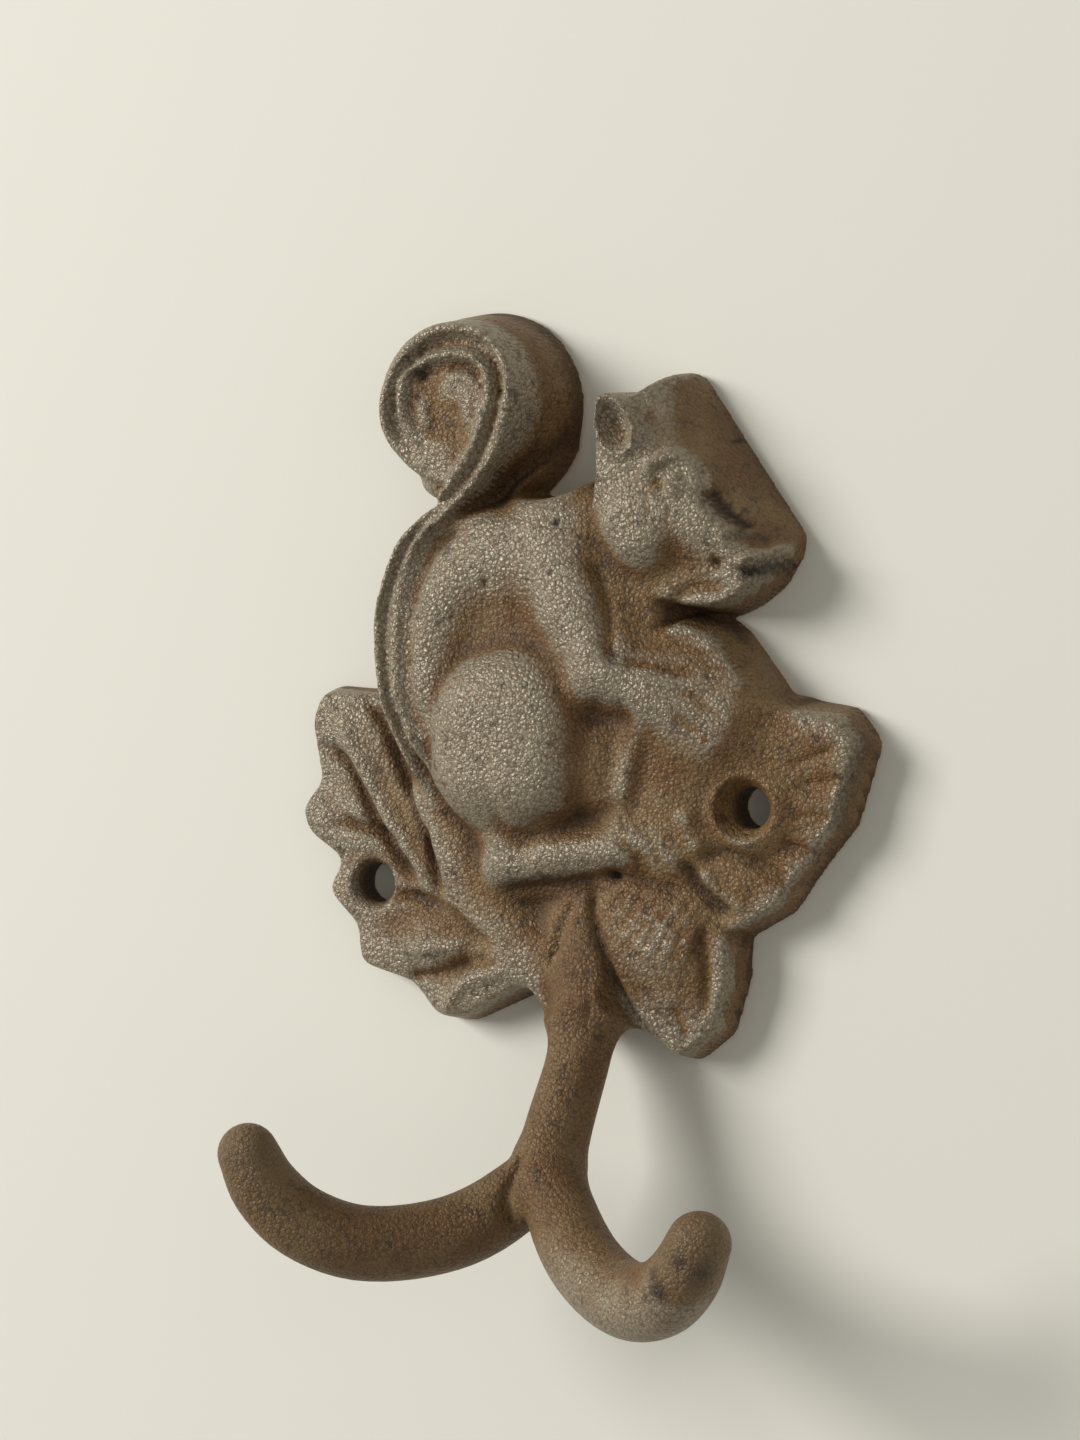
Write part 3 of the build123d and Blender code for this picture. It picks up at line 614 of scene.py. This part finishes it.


# wear, dark marks and painted shade

rubForm = {
    "base": 0.18, "leftward": 0.0074, "broadSize": 5.0, "broadGain": 0.2, "fineSize": 1.3, "fineGain": 0.7,
    "high": (6.0, 17.0), "highGain": 0.44,
    "slopeSize": 1.0, "rightSlope": (0.1, 0.7), "rightSlopeLoss": 0.3,
    "rightSide": (14, 30), "rightSideLoss": 0.15, "scrollEdge": (7.5, 10.5), "scrollLoss": 0.34,
    "ridgeReach": 4.0, "ridgeWidth": 0.9, "ridgeGain": 0.5,
    # painted shade in the hollows: where it comes in, and how much broad and fine hollows count
    "hollow": (0.1, 1.6), "hollowBroad": 0.35, "hollowFine": 1.2,
    "wallDepth": (0.6, 2.4), "wallLoss": 0.85,
}


def reliefWearAndShade(solid):
    # grey rub on what stands out, and painted shade in the hollows, darker the deeper they lie
    broad, fine = (solid - blur(solid, rubForm[size]) for size in ("broadSize", "fineSize"))
    slope = -np.gradient(blur(solid, rubForm["slopeSize"]), grid["pitch"], axis=0)
    scroll = np.hypot(*(field - at for field, at in zip((xField, zField), tailForm["faceCentre"])))
    rub = rubForm["base"] - rubForm["leftward"] * xField
    rub = rub + rubForm["broadGain"] * broad + rubForm["fineGain"] * fine
    rub += rubForm["highGain"] * smoothStep(*rubForm["high"], solid)
    rub -= rubForm["rightSlopeLoss"] * smoothStep(*rubForm["rightSlope"], slope)
    rub -= rubForm["rightSideLoss"] * smoothStep(*rubForm["rightSide"], xField)
    rub -= rubForm["scrollLoss"] * (1 - smoothStep(*rubForm["scrollEdge"], scroll))
    for ridge in ("ridgeOuter", "ridgeInner"):
        window, gap, _ = nearest(smoothLine(tailForm[ridge]), rubForm["ridgeReach"])
        rub[window] += rubForm["ridgeGain"] * bell(gap, rubForm["ridgeWidth"])
    hollow = -(rubForm["hollowBroad"] * broad + rubForm["hollowFine"] * fine)
    return rub, smoothStep(*rubForm["hollow"], hollow)


darkeningForm = {
    # bore: painted shade inside the screw bores, fading across the bore's edge and towards the front
    "ends": 0.12, "poreShare": 0.8, "bore": 0.9, "boreEdge": (3.1, 4.2), "boreDepth": (2.5, 7.0),
    # line, width, strength
    "lines": [
        ([(12.2, 53.8), (13.6, 52.2), (15.4, 50.4), (18.8, 48.4)], 0.7, 1.0),
        ([(18.4, 41.8), (21, 43), (23.8, 44.7)], 0.9, 1.0),
        ([(15.8, 47.2), (18, 47.6), (21.4, 47.2)], 0.6, 0.6),
        ([(-36.6, 68), (-34.4, 67.6), (-32.6, 69)], 0.7, 0.8),
        ([(2.8, 27.6), (1.6, 29.4), (1.2, 31)], 0.6, 0.7),
        ([(9, 36), (12.4, 36.4), (16, 36.4)], 0.8, 0.6),
        ([(-0.8, -9.2), (2.2, -14.8), (4.9, -20.3)], 0.8, 0.6),
        ([(-16, -6.4), (-8, -4.8), (0, -3)], 0.8, 0.6),
        ([(35.4, 22), (36.8, 19.6), (35.4, 13.4), (34, 6.4)], 0.6, 0.5),
        ([(13, 1), (15.4, -3), (20.2, -6.4)], 0.7, 0.5),
    ],
}


def darkMarkField():
    # dark lines along the listed grooves and edges, and dark pores
    darkMarksAndBoreShade = np.zeros(xField.shape)
    for line, width, strength in darkeningForm["lines"]:
        window, gap, share = nearest(smoothLine(line), 4 * width)
        darkMarksAndBoreShade[window] = np.maximum(darkMarksAndBoreShade[window], strength * endFade(share, darkeningForm["ends"]) * bell(gap, width))
    for x, z, width, _ in skinForm["pores"]:
        darkMarksAndBoreShade = np.maximum(darkMarksAndBoreShade, bell(np.hypot(xField - x, zField - z), darkeningForm["poreShare"] * width))
    return darkMarksAndBoreShade


hookWearAndShadeForm = {
    # dark: how far the hook is darkened, partly its darker coat, partly painted shade
    "clear": (0.5, 2.0), "rub": 0.12, "dark": 0.34, "tipReach": 11.0, "tipFade": (0.35, 1.0),
    "sheenAcross": (0.0, 9.0), "sheenUp": (-56.0, -47.0), "sheenGain": 0.5,  # under the right prong
    "patch": (34.0, 46.0, -49.0), "patchSize": 3.4, "patchLoss": 0.8,
    "haloReach": 5.0, "haloWidth": 1.6, "haloGain": 0.25,
    # black spots: x, height, z, size
    "spots": [(31.2, 45.2, -51.4, 1.5), (30.4, 44.6, -49.4, 1.0), (36.6, 44.6, -47.4, 1.6),
              (34.4, 46.2, -46.6, 1.0), (-1.8, 19.4, -51.6, 1.8), (-6.0, 21.6, -51.0, 1.4),
              (-9.6, 23.6, -54.4, 1.2)],
}


def wearAndShade(points, height):
    # for each point: the grey rub it takes, the painted shade of the hollow it lies in or the hook's
    # darkening, how near a tip, and the darkening from dark marks and from painted shade in the screw bores
    def away(place):
        return np.linalg.norm(points - place, axis=1)

    x, h, z = points.T
    column = tuple(((along - line[0]) / grid["pitch"]).round().astype(int).clip(0, len(line) - 1)
                   for along, line in ((x, xLine), (z, zLine)))
    relief = np.maximum(height, 0)
    rub, hollow = (field[column] for field in reliefWearAndShade(relief))
    solid = relief[column]
    below = smoothStep(*rubForm["wallDepth"], solid - h)  # on the walls and the back
    onHook = smoothStep(*hookWearAndShadeForm["clear"], h - solid)

    sheen = smoothStep(*hookWearAndShadeForm["sheenAcross"], x) * (1 - smoothStep(*hookWearAndShadeForm["sheenUp"], z))
    patchGap = away(hookWearAndShadeForm["patch"])
    hookRub = hookWearAndShadeForm["rub"] + hookWearAndShadeForm["sheenGain"] * sheen
    halo = bell(patchGap - hookWearAndShadeForm["haloReach"], hookWearAndShadeForm["haloWidth"])
    hookRub += hookWearAndShadeForm["haloGain"] * halo
    hookRub -= hookWearAndShadeForm["patchLoss"] * bell(patchGap, hookWearAndShadeForm["patchSize"])
    rub = rub * (1 - rubForm["wallLoss"] * below) * (1 - onHook) + hookRub * onHook
    # on the hook an even darkening, less under the right prong: partly its darker coat, partly painted shade
    hollow = hollow * (1 - below) * (1 - onHook) + hookWearAndShadeForm["dark"] * onHook * (1 - sheen)

    darkMarksAndBoreShade = darkMarkField()[column] * (1 - below)
    for sx, sh, sz, size in hookWearAndShadeForm["spots"]:
        darkMarksAndBoreShade = np.maximum(darkMarksAndBoreShade, bell(away((sx, sh, sz)), size) * onHook)
    # painted shade inside the screw bores, darkest near the wall
    for hx, hz in holeForm["centres"]:
        bore = 1 - smoothStep(*darkeningForm["boreEdge"], np.hypot(x - hx, z - hz))
        darkMarksAndBoreShade = np.maximum(darkMarksAndBoreShade, darkeningForm["bore"] * bore * (1 - smoothStep(*darkeningForm["boreDepth"], h)))

    tipGaps = [away(np.array(prongLine(side)[-1])[[0, 2, 1]]) for side in (-1, 1)]
    tip = 1 - smoothStep(*hookWearAndShadeForm["tipFade"], np.minimum(*tipGaps) / hookWearAndShadeForm["tipReach"])
    return {"rub": rub.clip(0, 1), "hollow": hollow, "tip": tip, "darkMarksAndBoreShade": darkMarksAndBoreShade}


def castingMesh():
    height, edge = reliefHeight()
    print("relief worked out, highest", round(float(height[edge < 0].max()), 1))
    shell = castForm["shell"]
    volume = openvdb.FloatGrid(shell)
    volume.copyFromArray(castingField(height, edge).clip(-shell, shell))
    points, quads = volume.convertToQuads(0.0)
    points = points * grid["pitch"] + [grid["x"][0], grid["height"][0], grid["z"][0]]
    mesh = bpy.data.meshes.new("squirrelCasting")
    mesh.from_pydata((points * [1, -1, 1] * millimetre).tolist(), [], quads.tolist())
    mesh.update()
    mesh.shade_smooth()
    for name, values in wearAndShade(points, height).items():
        mesh.attributes.new(name, "FLOAT", "POINT").data.foreach_set("value", values.astype(np.float32))
    print("casting meshed,", len(quads), "quads")
    return mesh


casting = bpy.data.objects.new("squirrel_casting", castingMesh())
bpy.context.scene.collection.objects.link(casting)
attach(casting, "root")
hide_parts("hook_casting")


# node helpers

def setSocket(tree, socket, value):
    if isinstance(value, bpy.types.NodeSocket):
        tree.links.new(value, socket)
    else:
        socket.default_value = value


def addNode(tree, kind, inputs=None, **settings):
    node = tree.nodes.new(kind)
    for name, value in settings.items():
        setattr(node, name, value)
    for name, value in (inputs or {}).items():
        setSocket(tree, node.inputs[name], value)
    return node


def maths(tree, operation, a, b=0.0, c=0.0, clamp=False):
    node = addNode(tree, "ShaderNodeMath", {0: a, 1: b, 2: c}, operation=operation, use_clamp=clamp)
    return node.outputs[0]


def span(tree, value, low, high):  # eases from 0 at low to 1 at high
    return addNode(tree, "ShaderNodeMapRange", {"Value": value, "From Min": low, "From Max": high},
                   interpolation_type="SMOOTHSTEP").outputs["Result"]


def blend(tree, share, a, b):
    node = addNode(tree, "ShaderNodeMix", {0: share, 6: a, 7: b}, data_type="RGBA")
    return node.outputs[2]


def newGroup(name, inputs, outputs):
    tree = bpy.data.node_groups.new(name, "ShaderNodeTree")
    for title, value in inputs.items():
        tree.interface.new_socket(title, in_out="INPUT", socket_type="NodeSocketFloat").default_value = value
    for title in outputs:
        tree.interface.new_socket(title, in_out="OUTPUT", socket_type="NodeSocketFloat")
    return tree, addNode(tree, "NodeGroupInput"), addNode(tree, "NodeGroupOutput")


def noise(tree, place, scale, detail=2.0, rough=0.55):
    settings = {"Vector": place, "Scale": scale, "Detail": detail, "Roughness": rough}
    return addNode(tree, "ShaderNodeTexNoise", settings)


grainForm = {
    "lumps": 1550.0, "lumpWarp": 0.0008, "lumpSmooth": 0.6, "lumpShare": 0.75,
    "cracks": (0.0, 0.09), "crackShare": 0.2, "grit": 3400.0, "gritShare": 0.25, "peaks": (0.4, 0.62),
    "patches": 130.0, "patchDetail": 3.0,
    "flecks": 420.0, "fleckDetail": 4.0, "fleckRough": 0.65, "fleckEdge": (0.57, 0.66),
}


def sandGrain():
    # the sand mould's grain: lumps under a millimetre with cracks round them and finer grit on them
    tree, given, out = newGroup("sandGrain", {"Lumps": grainForm["lumps"], "Grit": grainForm["grit"]},
                                ("Height", "Peaks", "Patches", "Flecks"))
    lumpScale = given.outputs["Lumps"]
    place = addNode(tree, "ShaderNodeTexCoord").outputs["Object"]
    stray = noise(tree, place, lumpScale, 1.0).outputs["Color"]
    warped = addNode(tree, "ShaderNodeVectorMath", {0: stray, 1: [grainForm["lumpWarp"]] * 3, 2: place},
                     operation="MULTIPLY_ADD").outputs[0]
    cells = addNode(tree, "ShaderNodeTexVoronoi",
                    {"Vector": warped, "Scale": lumpScale, "Smoothness": grainForm["lumpSmooth"]},
                    feature="SMOOTH_F1").outputs["Distance"]
    edges = addNode(tree, "ShaderNodeTexVoronoi", {"Vector": warped, "Scale": lumpScale},
                    feature="DISTANCE_TO_EDGE").outputs["Distance"]
    plates = maths(tree, "MULTIPLY", span(tree, edges, *grainForm["cracks"]), grainForm["crackShare"])
    domes = maths(tree, "SUBTRACT", 1.0, cells)
    coarse = maths(tree, "MULTIPLY_ADD", domes, 1 - grainForm["crackShare"], plates)
    grit = noise(tree, place, given.outputs["Grit"], 1.0).outputs["Fac"]
    grit = maths(tree, "MULTIPLY", grit, grainForm["gritShare"])
    height = maths(tree, "MULTIPLY_ADD", coarse, grainForm["lumpShare"], grit)
    patches = noise(tree, place, grainForm["patches"], grainForm["patchDetail"]).outputs["Fac"]
    flecks = noise(tree, place, grainForm["flecks"], grainForm["fleckDetail"],
                   grainForm["fleckRough"]).outputs["Fac"]
    tree.links.new(height, out.inputs["Height"])
    tree.links.new(span(tree, height, *grainForm["peaks"]), out.inputs["Peaks"])
    tree.links.new(patches, out.inputs["Patches"])
    tree.links.new(span(tree, flecks, *grainForm["fleckEdge"]), out.inputs["Flecks"])
    return tree


brushForm = {"patchSpread": 0.5, "cover": (0.22, 0.85), "peakShare": 0.6}


def dryBrush():
    # grey rub that catches the raised places, and on them the peaks of the grain
    tree, given, out = newGroup("dryBrush", {"Rub": 0.0, "Peaks": 0.5, "Patches": 0.5}, ("Mask",))
    spread, peakShare = brushForm["patchSpread"], brushForm["peakShare"]
    uneven = maths(tree, "MULTIPLY_ADD", given.outputs["Patches"], spread, -spread / 2)
    covered = span(tree, maths(tree, "ADD", given.outputs["Rub"], uneven), *brushForm["cover"])
    caught = maths(tree, "MULTIPLY_ADD", given.outputs["Peaks"], peakShare, 1 - peakShare)
    tree.links.new(maths(tree, "MULTIPLY", covered, caught, clamp=True), out.inputs["Mask"])
    return tree


coatForm = {
    "brown": (0.252, 0.158, 0.064, 1), "red": (0.180, 0.090, 0.028, 1), "redToBrown": (0.35, 0.7),
    # the brown laid where shade is painted in the hollows, and over the hook
    "shadeBrown": (0.078, 0.038, 0.013, 1), "shadeBrownShare": 0.8,
    "dark": (0.020, 0.014, 0.009, 1), "pits": (0.33, 0.50), "pitShare": 0.45, "fleckShare": 0.5,
    # the dark marks and the painted shade in the screw bores are laid at this share
    "darkeningShare": 0.9, "pewter": (0.335, 0.287, 0.206, 1), "pewterMetal": 0.4,
    "brass": (0.20, 0.145, 0.075, 1), "brassShare": 0.4,
    "rough": 0.34, "roughPatches": 0.22, "roughHollows": 0.2,
    "specular": 0.42, "bumpStrength": 0.9, "bumpDistance": 0.0005,
}


def coatedIron():
    material = bpy.data.materials.new("coatedIron")
    material.use_nodes = True
    tree = material.node_tree
    shader = tree.nodes["Principled BSDF"]
    rub, hollow, tip, darkMarksAndBoreShade = (addNode(tree, "ShaderNodeAttribute", attribute_name=name).outputs["Fac"]
                             for name in ("rub", "hollow", "tip", "darkMarksAndBoreShade"))
    grain = addNode(tree, "ShaderNodeGroup", node_tree=sandGrain()).outputs
    brush = addNode(tree, "ShaderNodeGroup", node_tree=dryBrush())
    for name, value in (("Rub", rub), ("Peaks", grain["Peaks"]), ("Patches", grain["Patches"])):
        tree.links.new(value, brush.inputs[name])
    mask = brush.outputs["Mask"]
    pits = maths(tree, "SUBTRACT", 1.0, span(tree, grain["Height"], *coatForm["pits"]))

    browning = span(tree, grain["Patches"], *coatForm["redToBrown"])
    colour = blend(tree, browning, coatForm["red"], coatForm["brown"])
    # each coat is laid over the ones before it: first the painted shade in the hollows (on the hook, partly
    # its darker coat), last the dark marks with the painted shade in the screw bores
    for amount, share, over in ((hollow, coatForm["shadeBrownShare"], "shadeBrown"), (pits, coatForm["pitShare"], "dark"),
                                (mask, 1.0, "pewter"), (grain["Flecks"], coatForm["fleckShare"], "dark"),
                                (tip, coatForm["brassShare"], "brass"), (darkMarksAndBoreShade, coatForm["darkeningShare"], "dark")):
        colour = blend(tree, maths(tree, "MULTIPLY", amount, share), colour, coatForm[over])
    tree.links.new(colour, shader.inputs["Base Color"])

    rough = maths(tree, "MULTIPLY_ADD", grain["Patches"], coatForm["roughPatches"], coatForm["rough"])
    rough = maths(tree, "MULTIPLY_ADD", hollow, coatForm["roughHollows"], rough)
    tree.links.new(rough, shader.inputs["Roughness"])
    tree.links.new(maths(tree, "MULTIPLY", mask, coatForm["pewterMetal"]), shader.inputs["Metallic"])
    shader.inputs["Specular IOR Level"].default_value = coatForm["specular"]
    bump = addNode(tree, "ShaderNodeBump", {"Strength": coatForm["bumpStrength"],
                                            "Distance": coatForm["bumpDistance"], "Height": grain["Height"]})
    tree.links.new(bump.outputs["Normal"], shader.inputs["Normal"])
    return material


casting.data.materials.append(coatedIron())
print("coat made")


# stage

stageForm = {
    "wallColour": (0.80, 0.78, 0.68, 1), "wallShade": 0.96, "wallClouds": 3.0, "wallRough": 0.85,
    "wallSize": 3.0, "wallGap": 0.0004, "clearWithin": 0.0009,
}


def paleWall():
    # pale plaster from the front; clear from behind, and clear to rays that start on the casting's back
    material = bpy.data.materials.new("paleWall")
    material.use_nodes = True
    tree = material.node_tree
    shader = tree.nodes["Principled BSDF"]
    place = addNode(tree, "ShaderNodeTexCoord").outputs["Object"]
    cloud = noise(tree, place, stageForm["wallClouds"]).outputs["Fac"]
    shade = [stageForm["wallShade"] * v for v in stageForm["wallColour"][:3]] + [1]
    tree.links.new(blend(tree, cloud, shade, stageForm["wallColour"]), shader.inputs["Base Color"])
    shader.inputs["Roughness"].default_value = stageForm["wallRough"]
    front = maths(tree, "SUBTRACT", 1.0, addNode(tree, "ShaderNodeNewGeometry").outputs["Backfacing"])
    ray = addNode(tree, "ShaderNodeLightPath").outputs["Ray Length"]
    far = maths(tree, "GREATER_THAN", ray, stageForm["clearWithin"])
    tree.links.new(maths(tree, "MULTIPLY", far, front), shader.inputs["Alpha"])
    return material


def backWall():
    half = stageForm["wallSize"] / 2
    corners = [(-half, -half), (half, -half), (half, half), (-half, half)]
    mesh = bpy.data.meshes.new("backWall")
    mesh.from_pydata([(x, stageForm["wallGap"], z) for x, z in corners], [], [(0, 1, 2, 3)])
    wall = bpy.data.objects.new("backWall", mesh)
    bpy.context.scene.collection.objects.link(wall)
    wall.data.materials.append(paleWall())


backWall()

cameraForm = {
    "place": (0.19181, -0.39552, 0.04436), "target": (-0.01689, 0.0, 0.01783), "roll": 4.716,
    "lens": 75.0, "sensor": 36.0,
}


def photoCamera():
    data = bpy.data.cameras.new("photoCamera")
    data.lens = cameraForm["lens"]
    data.sensor_width = cameraForm["sensor"]
    camera = bpy.data.objects.new("photoCamera", data)
    bpy.context.scene.collection.objects.link(camera)
    look = Vector(cameraForm["target"]) - Vector(cameraForm["place"])
    turn = look.to_track_quat("-Z", "Y").to_matrix().to_4x4()
    roll = Matrix.Rotation(math.radians(cameraForm["roll"]), 4, "Z")
    camera.matrix_world = Matrix.Translation(cameraForm["place"]) @ turn @ roll
    bpy.context.scene.camera = camera


photoCamera()

lampForms = {
    "window": {"place": (-1.16, -1.07, 0.40), "size": 0.7, "power": 24.6},
    "fill": {"place": (0.7, -0.8, 0.1), "size": 0.9, "power": 1.3},
    "behind": {"place": (0.6, 0.9, 0.5), "size": 0.6, "power": 6.0},
}
roomForm = {"colour": (1.0, 0.99, 0.95, 1), "strength": 0.27}


def lamps():
    for name, lamp in lampForms.items():
        data = bpy.data.lights.new(name, "AREA")
        data.energy = lamp["power"]
        data.size = lamp["size"]
        light = bpy.data.objects.new(name, data)
        bpy.context.scene.collection.objects.link(light)
        light.location = lamp["place"]
        light.rotation_euler = (-Vector(lamp["place"])).to_track_quat("-Z", "Y").to_euler()
    world = bpy.data.worlds.new("room")
    world.use_nodes = True
    background = world.node_tree.nodes["Background"].inputs
    background["Color"].default_value = roomForm["colour"]
    background["Strength"].default_value = roomForm["strength"]
    bpy.context.scene.world = world


lamps()
bpy.context.scene.view_settings.view_transform = "Standard"
print("stage, camera and lamps set")
